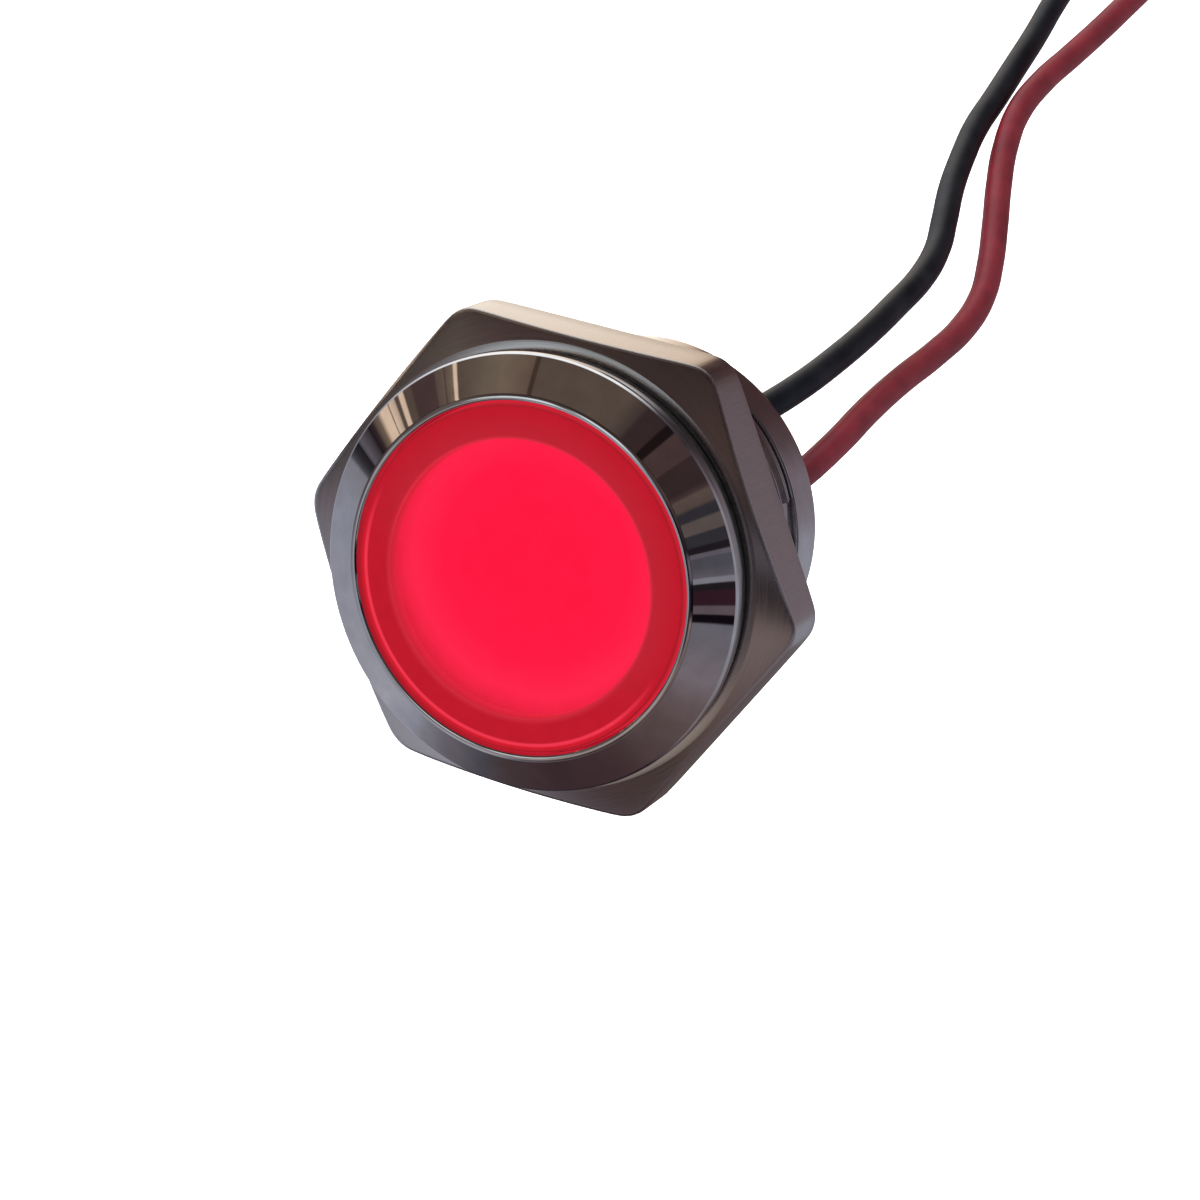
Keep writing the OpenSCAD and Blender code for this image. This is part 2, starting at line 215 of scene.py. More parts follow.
class Material(Tree):
    """A node material, with short calls for what the finishes share."""

    def __init__(self, name, **inputs):
        self.data = bpy.data.materials.new(name)
        self.data.use_nodes = True
        super().__init__(self.data.node_tree)
        self.shader = self.nodes["Principled BSDF"]
        self.place = self.nodes.new("ShaderNodeTexCoord").outputs["Object"]
        for key, value in inputs.items():
            self.shader.inputs[key.replace("_", " ")].default_value = value

    def noise(self, scale, detail=4, place=None):
        node = self.nodes.new("ShaderNodeTexNoise")
        node.inputs["Scale"].default_value = scale
        node.inputs["Detail"].default_value = detail
        self.link(place or self.place, node, "Vector")
        return node.outputs["Fac"]

    def stretched(self, scale):
        """The object's own coordinates, scaled along each axis."""
        return self.vector_math("MULTIPLY", self.place, scale)

    def axis_parts(self):
        """Distance from the button's axis, angle about it and height, all at this surface point."""
        x, y, z = self.split(self.place)
        across = self.math("SQRT", self.math("ADD", self.math("MULTIPLY", x, x),
                                             self.math("MULTIPLY", y, y)))
        return across, self.math("ARCTAN2", y, x), z

    def turned(self, *scales):
        """Coordinates for turning marks: distance from the axis, angle about it and height, scaled."""
        node = self.nodes.new("ShaderNodeCombineXYZ")
        for socket, (part, scale) in enumerate(zip(self.axis_parts(), scales)):
            self.link(self.math("MULTIPLY", part, scale), node, socket)
        return node.outputs["Vector"]

    def colour(self, factor, stops):
        self.link(self.ramp(factor, stops), self.shader, "Base Color")

    def roughness(self, factor, low, high):
        node = self.nodes.new("ShaderNodeMapRange")
        node.inputs["To Min"].default_value = low
        node.inputs["To Max"].default_value = high
        self.link(factor, node, "Value")
        self.link(node.outputs["Result"], self.shader, "Roughness")

    def bump(self, height, distance):
        node = self.nodes.new("ShaderNodeBump")
        node.inputs["Distance"].default_value = distance
        node.inputs["Strength"].default_value = 1
        self.link(height, node, "Height")
        self.link(node.outputs["Normal"], self.shader, "Normal")


def chrome():
    """Polished chrome: near mirror, with faint haze, pinholes and turning marks."""
    mat = Material("polished_chrome", Metallic=1.0)
    haze = mat.noise(900, 5)
    mat.colour(haze, [(0.3, (0.60, 0.595, 0.59, 1)), (0.7, (0.70, 0.695, 0.69, 1))])
    mat.roughness(mat.noise(2500, 6), 0.012, 0.04)
    mat.bump(mat.noise(1, 2, mat.turned(60000, 2, 1)), 0.0000001)
    return mat.data


def satin_chrome():
    """The barrel's plainer plating: turned lines and a softer shine."""
    mat = Material("satin_chrome", Metallic=1.0)
    mat.colour(mat.noise(700, 4), [(0.3, (0.56, 0.55, 0.56, 1)), (0.7, (0.68, 0.67, 0.69, 1))])
    mat.roughness(mat.noise(1800, 5), 0.12, 0.22)
    mat.bump(mat.noise(1, 3, mat.turned(20000, 1.5, 20000)), 0.000006)
    return mat.data


def nut_flats():
    """Nickel-plated drawn flats, with fine lines that run the way the bar was drawn."""
    mat = Material("nickel_drawn", Metallic=1.0)
    lines = mat.noise(1, 5, mat.stretched((9000, 9000, 500)))
    mat.colour(lines, [(0.25, (0.56, 0.54, 0.53, 1)), (0.75, (0.66, 0.64, 0.63, 1))])
    mat.roughness(lines, 0.22, 0.38)
    mat.bump(lines, 0.000005)
    return mat.data


def nut_faces():
    """Nickel-plated turned faces, with rings about the axis."""
    mat = Material("nickel_turned", Metallic=1.0)
    rings = mat.noise(1, 4, mat.turned(14000, 3, 1))
    mat.colour(rings, [(0.25, (0.56, 0.54, 0.53, 1)), (0.75, (0.68, 0.66, 0.65, 1))])
    mat.roughness(rings, 0.14, 0.24)
    mat.bump(rings, 0.000002)
    return mat.data


def rubber():
    """Moulded rubber, matt and slightly grained."""
    mat = Material("black_rubber", Specular_IOR_Level=0.3)
    mat.colour(mat.noise(1500, 6), [(0.3, (0.008, 0.008, 0.008, 1)), (0.8, (0.03, 0.03, 0.03, 1))])
    mat.roughness(mat.noise(4000, 4), 0.55, 0.8)
    mat.bump(mat.noise(6000, 5), 0.00001)
    return mat.data


def plastic(name, dark, light, low=0.35, high=0.5):
    """Moulded plastic between two shades, with a fine grain."""
    mat = Material(name)
    mat.colour(mat.noise(1200, 5), [(0.3, dark), (0.7, light)])
    mat.roughness(mat.noise(3000, 4), low, high)
    mat.bump(mat.noise(8000, 3), 0.000004)
    return mat.data


def plain_metal(name, dark, light, low=0.2, high=0.35):
    """Small stamped or drawn metal pieces."""
    mat = Material(name, Metallic=1.0)
    mat.colour(mat.noise(1500, 5), [(0.3, dark), (0.7, light)])
    mat.roughness(mat.noise(4000, 4), low, high)
    mat.bump(mat.noise(9000, 4), 0.000003)
    return mat.data


def insulation(name, dark, light):
    """Extruded lead insulation: long faint draw lines and patches of handling shine."""
    mat = Material(name, Specular_IOR_Level=0.4, Specular_Tint=(0.6, 0.8, 1, 1))
    mat.colour(mat.noise(500, 5), [(0.3, dark), (0.75, light)])
    mat.roughness(mat.noise(900, 6), 0.36, 0.52)
    mat.bump(mat.noise(1, 4, mat.stretched((7000, 7000, 400))), 0.00001)
    return mat.data


# ---------------------------------------------------------------- mesh helpers

def new_object(name, bm, materials, sharp=35):
    """A smooth-shaded object from a bmesh, with edges over the sharp angle kept crisp."""
    bmesh.ops.remove_doubles(bm, verts=bm.verts, dist=1e-8)
    bmesh.ops.recalc_face_normals(bm, faces=bm.faces)
    data = bpy.data.meshes.new(name)
    bm.to_mesh(data)
    bm.free()
    data.shade_smooth()
    data.set_sharp_from_angle(angle=math.radians(sharp))
    for material in materials:
        data.materials.append(material)
    made = bpy.data.objects.new(name, data)
    bpy.context.scene.collection.objects.link(made)
    weighted = made.modifiers.new("even_normals", "WEIGHTED_NORMAL")
    weighted.keep_sharp = True
    weighted.weight = 100
    return made


def rounded(corners, steps=4):
    """Outline in millimetres from (r, z) or (r, z, fillet) corners; each fillet is blended in."""
    out = []
    for i, corner in enumerate(corners):
        here = Vector(corner[:2])
        if len(corner) < 3:
            out.append(here)
            continue
        before = (Vector(corners[i - 1][:2]) - here).normalized() * corner[2]
        after = (Vector(corners[(i + 1) % len(corners)][:2]) - here).normalized() * corner[2]
        for k in range(steps + 1):
            t = k / steps
            out.append(here + before * (1 - t) ** 2 + after * t ** 2)
    return out


def polar(r, angle, z):
    """A place in metres, from a radius and a height in millimetres and an angle about the axis."""
    return (r * MM * math.cos(angle), r * MM * math.sin(angle), z * MM)


def turn(bm, outline, material=0, angles=192, closed=True):
    """Turns an outline of (r, z) in millimetres about the axis."""
    rings = []
    for r, z in outline:
        if r == 0:
            rings.append([bm.verts.new((0, 0, z * MM))] * angles)
            continue
        rings.append([bm.verts.new(polar(r, math.tau * k / angles, z)) for k in range(angles)])
    pairs = list(zip(rings, rings[1:]))
    if closed:
        pairs.append((rings[-1], rings[0]))
    for low, high in pairs:
        for k in range(angles):
            n = (k + 1) % angles
            corners = []
            for v in (low[k], low[n], high[n], high[k]):
                if v not in corners:
                    corners.append(v)
            if len(corners) > 2:
                bm.faces.new(corners).material_index = material


def round_wire(bm, centres, across, up, wire, sides):
    """A round wire of this radius through the centres, with flat ends. Each section lies in the plane
    of the two directions given for its centre."""
    rings = [
        [bm.verts.new(at + (a * math.cos(s) + b * math.sin(s)) * wire)
         for s in (math.tau * k / sides for k in range(sides))]
        for at, a, b in zip(centres, across, up)
    ]
    for here, beyond in zip(rings, rings[1:]):
        for k in range(sides):
            n = (k + 1) % sides
            bm.faces.new((here[k], here[n], beyond[n], beyond[k]))
    bm.faces.new(rings[0])
    bm.faces.new(rings[-1])


def top_of(node):
    """Height of a CAD node's top, in millimetres."""
    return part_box(node)[1].z / MM


def bottom_of(node):
    """Height of a CAD node's foot, in millimetres."""
    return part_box(node)[0].z / MM


def radius_of(node):
    """How far a CAD node reaches along +X, in millimetres."""
    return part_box(node)[1].x / MM


def finished(piece, body, slot, *nodes):
    """Puts a new piece on its body, in place of the CAD nodes it stands for."""
    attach(piece, body)
    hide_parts(*nodes)
    return piece


# ---------------------------------------------------------------- the housing

HEAD_R = 12.5
HEAD_TOP = top_of("bezel_barrel")
CAP_R = radius_of("lens_cap")
CAP_BORE_R = CAP_R + 0.07
CONE_H = 1.35
LIP_W = 0.33
THREAD_R = 11.0
THREAD_PITCH = 1.0
THREAD_DEPTH = 0.61
THREAD_END = -12.5
COLLAR_TOP = -12.9
COLLAR_R = 10.83
CHAMBER_R = 9.8
KEYWAY_ANGLE = math.radians(-135)
KEYWAY_W = 3.0
KEYWAY_FLOOR = THREAD_R - 0.6
KEYWAY_HALF = math.asin(KEYWAY_W / 2 / THREAD_R)
NECK_R = THREAD_R - 0.7
GUIDE_R = 9.1
CHAMBER_TOP = -3.0


def thread_radius(phase):
    """Radius at a phase from 0 to 1 along one pitch: a flat crest, a flank, a flat root, a flank."""
    crest, root = 1 / 8, 1 / 4
    flank = (1 - crest - root) / 2
    if phase < crest:
        return THREAD_R
    if phase < crest + flank:
        return THREAD_R - THREAD_DEPTH * (phase - crest) / flank
    if phase < crest + flank + root:
        return THREAD_R - THREAD_DEPTH
    return THREAD_R - THREAD_DEPTH * (1 - phase) / flank


def keyed_angles(count):
    """Angles round the barrel, with pairs close together at the keyway's two walls."""
    gap = 0.001
    edges = [KEYWAY_ANGLE + side * (KEYWAY_HALF + step) for side in (-1, 1) for step in (-gap, gap)]
    plain = [KEYWAY_ANGLE + math.tau * (k + 0.5) / count for k in range(count)]
    clear = [a for a in plain if min(abs(math.remainder(a - e, math.tau)) for e in edges) > 4 * gap]
    return sorted(clear + edges, key=lambda a: math.remainder(a - KEYWAY_ANGLE, math.tau))


def add_thread(bm):
    """Helical thread from under the head to the run-out groove, with the keyway cut along it."""
    phases = [0, 1 / 8, 0.27, 7 / 16, 11 / 16, 0.85]  # the profile's corners and a point on each flank
    lead_in, inner = 0.45, THREAD_R - 0.72
    turns = int(-THREAD_END / THREAD_PITCH) + 3
    angles = keyed_angles(160)
    columns = []
    for a in angles:
        off = math.remainder(a - KEYWAY_ANGLE, math.tau)
        column = []
        for k in range(turns * len(phases)):
            lap, phase = k // len(phases), phases[k % len(phases)]
            z = (lap + phase + off / math.tau) * THREAD_PITCH + THREAD_END - THREAD_PITCH
            r = min(thread_radius(phase), THREAD_R - lead_in + max(0, z - THREAD_END))
            if abs(off) < KEYWAY_HALF:
                r = min(r, KEYWAY_FLOOR / math.cos(off))
            column.append(bm.verts.new(polar(r, a, z)))
        columns.append(column)
    for i, column in enumerate(columns):
        beside = columns[(i + 1) % len(columns)]
        shift = len(phases) if i == len(columns) - 1 else 0  # the last column meets the next turn
        for k in range(len(column) - 1 - shift):
            bm.faces.new((column[k], beside[k + shift], beside[k + 1 + shift], column[k + 1]))
    for place, normal in ((0, 1), (THREAD_END, -1)):
        geometry = bm.verts[:] + bm.edges[:] + bm.faces[:]
        bmesh.ops.bisect_plane(bm, geom=geometry, plane_co=(0, 0, place * MM),
                               plane_no=(0, 0, normal), clear_outer=True)
    ends = [e for e in bm.edges if e.is_boundary and
            all(min(abs(v.co.z), abs(v.co.z - THREAD_END * MM)) < 1e-7 for v in e.verts)]
    grown = bmesh.ops.extrude_edge_only(bm, edges=ends)["geom"]
    for v in (g for g in grown if isinstance(g, bmesh.types.BMVert)):
        v.co.xy = v.co.xy.normalized() * inner * MM
    inside = [g for g in grown if isinstance(g, bmesh.types.BMEdge) and g.is_boundary]
    bmesh.ops.bridge_loops(bm, edges=inside)


def make_housing(polished, satin):
    """Head, thread and collar in one piece."""
    bm = bmesh.new()
    add_thread(bm)
    for face in bm.faces:
        face.material_index = 1
    cone_foot = HEAD_TOP - CONE_H
    turn(bm, rounded([
        (CAP_BORE_R, bottom_of("lens_cap")), (CAP_BORE_R, HEAD_TOP, 0.16),
        (CAP_BORE_R + LIP_W, HEAD_TOP, 0.15), (HEAD_R, cone_foot, 0.2), (HEAD_R, 0, 0.12),
        (NECK_R, 0), (NECK_R, -0.3), (GUIDE_R, -0.3),
    ]), material=0)
    foot = bottom_of("bezel_barrel")
    liner = CHAMBER_R + 0.2
    overlap = THREAD_END + 0.2
    turn(bm, rounded([
        (NECK_R, overlap), (NECK_R, COLLAR_TOP), (COLLAR_R, COLLAR_TOP, 0.22), (COLLAR_R, foot, 0.8),
        (CHAMBER_R, foot, 0.1), (CHAMBER_R, CHAMBER_TOP), (liner, CHAMBER_TOP), (liner, overlap),
    ]), material=1)
    piece = new_object("bezel_and_barrel", bm, [polished, satin], sharp=28)
    return finished(piece, "housing", "bezel_chrome", "bezel_barrel")


def make_seal(material):
    """Rubber ring under the head."""
    low, high = bottom_of("panel_seal"), top_of("panel_seal")
    inner, outer = THREAD_R + 0.02, radius_of("panel_seal")
    bm = bmesh.new()
    turn(bm, rounded([(inner, low, 0.1), (outer, low, 0.3), (outer, high, 0.3), (inner, high, 0.1)]))
    return finished(new_object("seal_ring", bm, [material]), "housing", "seal_rubber", "panel_seal")


def make_plug(material, exits):
    """Cast resin with a sunk skin that climbs the barrel's wall and the two leads."""
    low, high = bottom_of("rear_plug"), top_of("rear_plug")
    outer = CHAMBER_R - 0.02
    bm = bmesh.new()
    turn(bm, rounded([(0, high), (outer, high), (outer, low - 0.15), (outer - 0.5, low + 0.12, 0.3),
                      (0, low + 0.18)]), closed=False)
    inner = LEAD_D / MM / 2 - 0.02
    spread, rise, steps = 0.95, 0.06, 8
    climb = [(inner + spread * (1 - k / steps) ** 2.4, low + 0.22 - rise * k) for k in range(steps + 1)]
    for x, y, _ in exits:
        before = len(bm.verts)
        turn(bm, climb + [(inner, low + 0.5), (inner + spread, low + 0.5)], angles=64)
        bm.verts.ensure_lookup_table()
        bmesh.ops.translate(bm, verts=bm.verts[before:], vec=Vector((x, y, 0)) * MM)
    return finished(new_object("resin_plug", bm, [material]), "housing", "potting_resin", "rear_plug")


# ---------------------------------------------------------------- the nut

NUT_AF = 2 * radius_of("hex_nut")
NUT_CORNER_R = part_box("hex_nut")[1].y / MM
NUT_FACE_R = 12.9
NUT_SLOPE = math.tan(math.radians(20))


def nut_radius(angle):
    """Outline of the nut: six flats, with the corners turned off and their edges eased."""
    off = math.remainder(angle, math.pi / 3)
    flat = NUT_AF / 2 / math.cos(off)
    ease = 0.22
    return (flat + NUT_CORNER_R - math.sqrt((flat - NUT_CORNER_R) ** 2 + ease ** 2)) / 2


def make_nut(flats, faces):
    """Hex nut: eased edges, a chamfered front and a plain back, with lead-ins at both ends of its bore."""
    low, high = bottom_of("hex_nut"), top_of("hex_nut")
    bore, lead_in, edge = THREAD_R + 0.05, 0.5, 0.08
    count = 720
    bm = bmesh.new()
    columns = []
    for k in range(count):
        a = math.tau * k / count
        r = nut_radius(a)
        shoulder = high - (r - NUT_FACE_R) * NUT_SLOPE
        outline = [
            (bore, low + lead_in), (bore + lead_in, low), (r - 2 * edge, low),
            (r - edge / 2, low + edge / 2), (r, low + 2 * edge), (r, shoulder - 2 * edge),
            (r - edge / 4, shoulder - edge / 2), (r - edge, shoulder + edge * NUT_SLOPE - edge / 6),
            (r - 3 * edge, shoulder + 3 * edge * NUT_SLOPE), (NUT_FACE_R, high - 0.02),
            (NUT_FACE_R - 0.06, high), (bore + lead_in, high), (bore, high - lead_in),
        ]
        columns.append([bm.verts.new(polar(p, a, z)) for p, z in outline])
    rows = len(columns[0])
    for k in range(count):
        here, beside = columns[k], columns[(k + 1) % count]
        for i in range(rows):
            n = (i + 1) % rows
            face = bm.faces.new((here[i], beside[i], beside[n], here[n]))
            face.material_index = 0 if 2 <= i <= 6 else 1  # the flats and their edges, or the rest
    piece = new_object("nut_hex", bm, [flats, faces], sharp=25)
    return finished(piece, "nut", "nut_nickel", "hex_nut")


# ---------------------------------------------------------------- the button

LIT_R = 7.9
LIT_DEPTH = 0.85
GLOW_SHIFT = 1.0
RING_RED = linear(187, 18, 38)


def glowing_red():
    """Frosted red plastic lit from inside: bright at the sunk disc, dim at the rim, with soft clouds."""
    mat = Material("lit_frosted_red", Roughness=0.5, Specular_IOR_Level=0.12)
    across, angle, height = mat.axis_parts()
    depth = mat.math("DIVIDE", mat.math("SUBTRACT", top_of("lens_cap") * MM, height), LIT_DEPTH * MM)
    out = mat.math("DIVIDE", across, CAP_R * MM)
    plain = mat.ramp(out, [(0.795, linear(228, 44, 66)), (0.815, linear(186, 31, 47)),
                           (0.97, RING_RED), (0.99, linear(150, 20, 32))])
    # Painted highlight: the inside light caught on the cap's bevel, drawn as a bright line near the rim;
    # the towards mask shows it on one side of the cap only.
    rim_with_painted_highlight = mat.ramp(out, [(0.795, linear(205, 40, 60)), (0.83, RING_RED), (0.935, RING_RED),
                            (0.943, linear(240, 54, 78)), (0.955, linear(238, 50, 74)),
                            (0.962, linear(205, 20, 40)), (0.975, linear(200, 22, 38)),
                            (0.99, linear(130, 14, 24))])
    towards = mat.ramp(mat.math("COSINE", mat.math("SUBTRACT", angle, math.radians(100))),
                       [(0.0, 0.0), (0.4, 1.0)])
    rim = mat.mix(towards, plain, rim_with_painted_highlight)
    wall = mat.ramp(depth, [(0.1, linear(198, 33, 50)), (0.9, linear(222, 34, 58))])
    far = mat.vector_math("LENGTH", mat.vector_math("ADD", mat.place, (0, GLOW_SHIFT * MM, 0)))
    cloudy = mat.math("ADD", mat.math("DIVIDE", far, 10 * MM),
                      mat.math("MULTIPLY", mat.noise(180, 3), 0.05))
    disc = mat.ramp(cloudy, [(0.3, linear(254, 6, 60)), (0.6, linear(254, 10, 62)),
                             (0.78, linear(255, 30, 72)), (0.86, linear(240, 30, 66)),
                             (0.93, linear(212, 30, 54))])
    lit = mat.mix(mat.ramp(depth, [(0.02, 0.0), (0.1, 1.0)]), rim, wall)
    lit = mat.mix(mat.ramp(depth, [(0.93, 0.0), (0.99, 1.0)]), lit, disc)
    mat.link(lit, mat.shader, "Emission Color")
    mat.shader.inputs["Emission Strength"].default_value = 0.97
    mat.colour(mat.noise(900, 4), [(0.3, (0.012, 0.001, 0.001, 1)), (0.7, (0.03, 0.001, 0.002, 1))])
    mat.bump(mat.noise(5000, 3), 0.000006)
    return mat.data


def clear_skin():
    """The cap's clear front over the sunk disc."""
    mat = Material("clear_red_skin", Alpha=0.03, Specular_IOR_Level=0.1)
    mat.colour(mat.noise(800, 4), [(0.3, (0.75, 0.03, 0.06, 1)), (0.7, (0.9, 0.05, 0.09, 1))])
    mat.roughness(mat.noise(1500, 4), 0.25, 0.4)
    mat.bump(mat.noise(4000, 3), 0.000004)
    return mat.data


def make_cap(glow, skin):
    """Frosted cap with a sunk, lit disc, and the clear window that fills it flush."""
    top, foot = top_of("lens_cap"), bottom_of("lens_cap")
    seat = top - 0.9
    inner = LIT_R - 0.02
    bm = bmesh.new()
    turn(bm, rounded([
        (0, foot), (inner, foot), (inner, seat), (CAP_R, seat), (CAP_R - 0.06, top, 0.2),
        (LIT_R, top, 0.05), (inner, top - LIT_DEPTH, 0.05), (0, top - LIT_DEPTH),
    ]), closed=False)
    finished(new_object("cap_frosted", bm, [glow]), "button", "lens_red", "lens_cap")
    low, high = top - 0.06, top - 0.001
    bm = bmesh.new()
    turn(bm, [(0, low), (inner, low), (inner, high), (0, high)], closed=False)
    window = new_object("cap_window", bm, [skin])
    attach(window, "button")


# ---------------------------------------------------------------- leads and their ends

def make_tip(name, node, material):
    """Seven tinned strands, six twisted about one."""
    low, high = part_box(node)
    centre = (low + high) / 2
    outer = (high.x - low.x) / 2
    strand = outer / 3
    steps, twist = 40, math.tau * 1.2
    x, y = Vector((1, 0, 0)), Vector((0, 1, 0))
    bm = bmesh.new()
    for which in range(7):
        away = 0 if which == 6 else outer - strand
        centres = []
        for k in range(steps + 1):
            t = k / steps
            a = which * math.pi / 3 + twist * t
            centres.append(Vector((centre.x + away * math.cos(a), centre.y + away * math.sin(a),
                                   high.z + (low.z - high.z) * t)))
        round_wire(bm, centres, [x] * (steps + 1), [y] * (steps + 1), strand * 0.98, sides=10)
    return finished(new_object(name, bm, [material]), "housing", "solder_tin", node)


def make_lead(name, route, node, slot, material, tip):
    """One lead, hanging from the resin. Its tip argument is not used."""
    lead = lead_curve(name, route)
    lead.data.materials.append(material)
    finished(lead, "housing", slot, node)


# ---------------------------------------------------------------- inside pieces


def make_spring(material):
    """Coil spring with closed ends, on a mesh of its own."""
    low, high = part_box("return_spring")
    wire = 0.3 * MM
    middle = high.x - wire
    coils, per_coil = 4.5, 48
    steps = int(coils * per_coil)
    up = Vector((0, 0, 1))
    centres, across = [], []
    for k in range(steps + 1):
        t = k / steps
        eased = t - 0.08 * math.sin(math.tau * t)
        a = math.tau * coils * t
        out = Vector((math.cos(a), math.sin(a), 0))
        across.append(out)
        centres.append(out * middle + up * (low.z + wire + (high.z - low.z - 2 * wire) * eased))
    bm = bmesh.new()
    round_wire(bm, centres, across, [up] * (steps + 1), wire, sides=12)
    spring = finished(new_object("spring_coil", bm, [material]), "housing", "spring_steel", "return_spring")
    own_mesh(spring)


def dress(material, *nodes):
    """Gives CAD nodes a finish in place of their packed one."""
    for node in nodes:
        data = NODES[node].data
        data.materials.clear()
        data.materials.append(material)


# ---------------------------------------------------------------- the studio

FLOOR_Z = CAD_LOW.z - 0.001


def make_floor():
    """Pale floor below the ends of the leads, seen from above only."""
    bm = bmesh.new()
    size = 3
    corners = [bm.verts.new((x * size, y * size, FLOOR_Z)) for x, y in ((-1, -1), (1, -1), (1, 1), (-1, 1))]
    bm.faces.new(corners)
    data = bpy.data.meshes.new("floor")
    bm.to_mesh(data)
    bm.free()
    floor = bpy.data.objects.new("floor", data)
    bpy.context.scene.collection.objects.link(floor)
    floor.visible_glossy = False
    mat = Material("pale_floor", Roughness=0.9, Specular_IOR_Level=0.0)
    mat.colour(mat.noise(40, 3), [(0.3, (0.86, 0.86, 0.86, 1)), (0.7, (0.88, 0.88, 0.88, 1))])
    mat.shader.inputs["Emission Color"].default_value = (1, 1, 1, 1)
    mat.shader.inputs["Emission Strength"].default_value = 0.9
    see_through = mat.nodes.new("ShaderNodeBsdfTransparent")
    side = mat.nodes.new("ShaderNodeNewGeometry")
    chosen = mat.nodes.new("ShaderNodeMixShader")
    mat.link(side.outputs["Backfacing"], chosen, "Fac")
    mat.link(mat.shader.outputs["BSDF"], chosen, 1)
    mat.link(see_through.outputs["BSDF"], chosen, 2)
    mat.link(chosen.outputs["Shader"], mat.nodes["Material Output"], "Surface")
    data.materials.append(mat.data)


CHROME_SHARE = 0.65  # of the room's light, as the chrome reflects it

SOOT = (14, 10, 15)
SHADE = (30, 25, 29)
WINE = (46, 25, 35)
UMBER = (51, 38, 39)
COCOA = (67, 51, 51)
BROWN = (83, 70, 63)
TAN = (107, 92, 80)
BEIGE = (176, 155, 136)
CREAM = (206, 180, 158)
COAL = (46, 44, 49)
SLATE = (72, 70, 78)
ASH = (89, 84, 92)
MAUVE = (110, 101, 108)
PEWTER = (118, 117, 126)
STEEL = (131, 133, 146)
PALE = (148, 148, 159)
GLINT = (240, 242, 246)

# What polished metal shows towards the front, by the compass direction that its surface leans to, in
# degrees from +X. Each zone is for one slope: level flats, the nut's chamfer and its crease, the
# bezel's cone, the eased edges, and upright walls.
ON_CONE = [
    (-180, (87, 72, 73)), (-172, (99, 86, 89)), (-165, MAUVE), (-148, (95, 93, 101)), (-147.4, SOOT),
    (-145.2, SOOT), (-144.8, (86, 75, 81)), (-142.6, (86, 75, 81)), (-142.2, WINE), (-138.2, WINE),
    (-137.8, SHADE), (-136, SHADE), (-135.7, PEWTER), (-134.4, PEWTER), (-134, ASH), (-131, SLATE),
    (-128.4, SLATE), (-128, ASH), (-127, ASH), (-126.7, SHADE), (-125, SHADE), (-124.6, COAL),
    (-121.4, COAL), (-121, (84, 75, 73)), (-117.6, (84, 75, 73)), (-117, COAL), (-114.5, COAL),
    (-113.5, (78, 66, 61)), (-110.6, (85, 71, 67)), (-110, COCOA), (-108.4, UMBER), (-101.5, UMBER),
    (-101, COCOA), (-94.4, COCOA), (-94, (27, 18, 19)), (-91.6, (27, 18, 19)), (-91, UMBER),
    (-85.4, UMBER), (-84, (64, 53, 50)), (-79, BROWN), (-53.4, BROWN), (-53, (62, 49, 41)),
    (-52, (62, 49, 41)), (-51.6, (92, 76, 66)), (-43, TAN), (-36, (95, 83, 73)), (-30, BROWN),
    (-29.3, BROWN), (-29, CREAM), (-28.1, CREAM), (-27.8, TAN), (-25.6, (92, 78, 69)), (-25.3, COCOA),
    (-24.9, (92, 78, 69)), (-22.6, BROWN), (-22, COCOA), (-15, COCOA), (-14, BROWN), (-12, BROWN),
    (-11.6, CREAM), (-10.3, CREAM), (-9.9, BROWN), (-8.9, BROWN), (-8.4, BEIGE), (-6.6, CREAM),
    (-6.3, BROWN), (-5.9, CREAM), (-3.4, CREAM), (-2, TAN), (-0.4, BROWN),
    (0.4, UMBER), (2, SHADE), (3, (60, 54, 58)), (6, ASH), (6.8, SLATE), (7.2, SHADE), (9.4, COAL),
    (11, SLATE), (12, PEWTER), (25, STEEL), (60, (138, 139, 150)), (80, PALE), (91, STEEL),
    (95, PEWTER), (101, (102, 98, 106)), (107, ASH), (114, SLATE), (122, (66, 54, 57)),
    (138, (56, 41, 45)), (158, (62, 46, 49)), (180, (87, 72, 73)),
]
ON_CHAMFER = [
    (-180, (85, 68, 64)), (-168, (98, 84, 82)), (-156, (112, 100, 99)), (-148, (122, 108, 106)),
    (-146, COCOA), (-144, SOOT), (-136, SOOT), (-134, ASH), (-128, (92, 86, 92)), (-125, SHADE),
    (-108, (72, 58, 54)), (-80, (52, 41, 39)), (-60, (60, 50, 45)), (-40, COCOA), (-25, (90, 80, 73)),
    (-12, (70, 63, 60)), (15, (76, 69, 67)), (30, MAUVE), (45, (125, 126, 137)), (80, (140, 142, 152)),
    (105, PALE), (116, PALE), (128, ASH), (145, COCOA), (165, (62, 50, 47)), (175, BROWN),
    (180, (85, 68, 64)),
]
ON_FLATS = [
    (-180, (150, 138, 132)), (-168, (120, 108, 104)), (-156, COAL), (-110, SOOT), (-92, SLATE),
    (-82, (186, 194, 200)), (-66, (212, 220, 226)), (-60, (70, 80, 78)), (-54, (204, 214, 220)),
    (-34, (196, 206, 212)), (-25, ASH), (-8, ASH), (4, PALE), (60, STEEL), (90, MAUVE),
    (130, (140, 130, 126)), (180, (150, 138, 132)),
]
ON_CREASE = [
    (-180, ASH), (-150, SHADE), (-100, SOOT), (20, SHADE), (60, PEWTER), (180, ASH),
]
ON_EDGES = [
    (-180, MAUVE), (-150, (132, 132, 142)), (-118, (126, 126, 136)), (-108, ASH), (-98, COAL),
    (-88, SLATE), (-75, GLINT), (-33, GLINT), (-18, (196, 196, 202)), (2, PEWTER), (30, PALE),
    (90, PALE), (110, COAL), (165, SHADE), (180, MAUVE),
]
